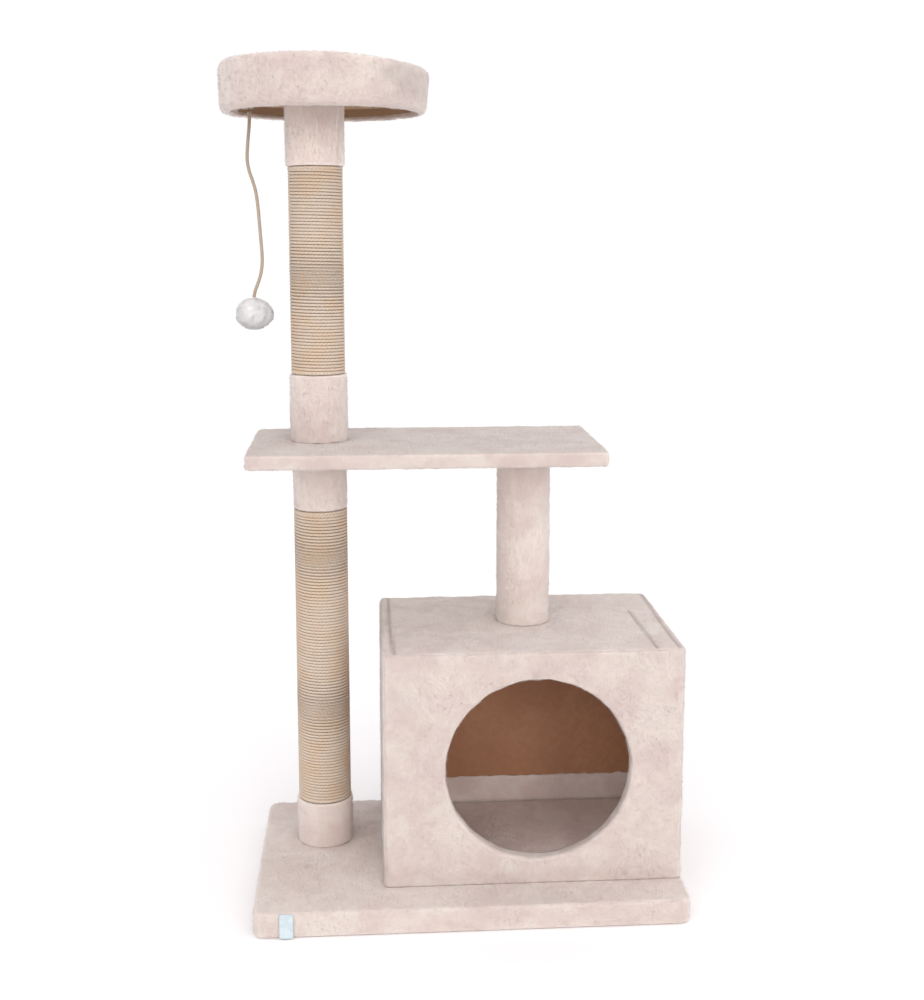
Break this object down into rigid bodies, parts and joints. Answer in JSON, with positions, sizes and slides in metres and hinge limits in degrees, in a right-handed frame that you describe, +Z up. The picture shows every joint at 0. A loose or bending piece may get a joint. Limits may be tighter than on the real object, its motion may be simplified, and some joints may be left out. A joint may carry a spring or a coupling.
{
  "type": "cat tree",
  "caption": "Plush-covered cat tree with a boxy condo, a shelf, sisal-wound posts, a round padded bed on top and a hanging pompom toy.",
  "frame": {"origin": "on the floor under the middle of the base, on the liner's underside", "axes": "+Z up along the posts, -Y towards the doorway side, +X towards the condo"},
  "size_m": [0.619, 0.3726, 1.134],
  "materials": {
    "plush": "short cream faux-fur plush, matt, brushed in patches",
    "pad_plush": "short cream plush on the bed's floor, matt",
    "sisal": "natural sisal rope wound tight in even turns, matt",
    "toy_string": "twisted natural sisal string, matt",
    "pompom_yarn": "white fluffy yarn",
    "chipboard": "bare brown particle board, dull",
    "fibreboard": "bare brown fibreboard, dull",
    "plug_wood": "raw turned softwood",
    "cardboard": "spiral-wound brown cardboard tube, dull",
    "zinc_steel": "zinc-plated steel",
    "felt": "thin black non-woven felt",
    "label_cloth": "blank pale woven tape"
  },
  "bodies": {
    "tree": {"base_board": "chipboard", "base_cover": "plush", "base_liner": "felt", "base_label_tab": "label_cloth", "base_washer": "zinc_steel", "base_bolt": "zinc_steel", "condo_washer": "zinc_steel", "condo_bolt": "zinc_steel", "condo_screw_front_left": "zinc_steel", "condo_screw_front_right": "zinc_steel", "condo_screw_back_left": "zinc_steel", "condo_screw_back_right": "zinc_steel", "condo_front_panel": "chipboard", "condo_back_panel": "chipboard", "condo_left_panel": "chipboard", "condo_right_panel": "chipboard", "condo_top_panel": "chipboard", "condo_cover": "plush", "lower_post_tube": "cardboard", "lower_post_bottom_plug": "plug_wood", "lower_post_bottom_insert": "zinc_steel", "lower_post_top_plug": "plug_wood", "lower_post_top_insert": "zinc_steel", "upper_post_tube": "cardboard", "upper_post_bottom_plug": "plug_wood", "upper_post_bottom_insert": "zinc_steel", "upper_post_top_plug": "plug_wood", "upper_post_top_insert": "zinc_steel", "short_post_tube": "cardboard", "short_post_bottom_plug": "plug_wood", "short_post_bottom_insert": "zinc_steel", "short_post_top_plug": "plug_wood", "short_post_top_insert": "zinc_steel", "lower_post_bottom_cuff": "plush", "lower_post_sisal": "sisal", "lower_post_top_cuff": "plush", "upper_post_bottom_cuff": "plush", "upper_post_sisal": "sisal", "upper_post_top_cuff": "plush", "short_post_cover": "plush", "shelf_board": "chipboard", "shelf_cover": "plush", "shelf_stud": "zinc_steel", "shelf_bolt": "zinc_steel", "bed_board": "fibreboard", "bed_hoop": "fibreboard", "bed_rim_cover": "plush", "bed_pad": "pad_plush", "bed_washer": "zinc_steel", "bed_bolt": "zinc_steel", "toy_staple": "zinc_steel"},
    "toy_loop": {"toy_loop": "toy_string"},
    "toy": {"toy_knot": "toy_string", "toy_cord": "toy_string", "toy_pompom": "pompom_yarn"}
  },
  "joints": [
    {"name": "toy_side_swing", "type": "hinge", "parent": "tree", "child": "toy_loop", "pos_m": [-0.2865, 0.051, 1.0758], "axis": [0, 1, 0], "range_deg": [-3, 30]},
    {"name": "toy_fore_aft_swing", "type": "hinge", "parent": "toy_loop", "child": "toy", "pos_m": [-0.2865, 0.051, 1.0699], "axis": [1, 0, 0], "range_deg": [-40, 40]}
  ]
}
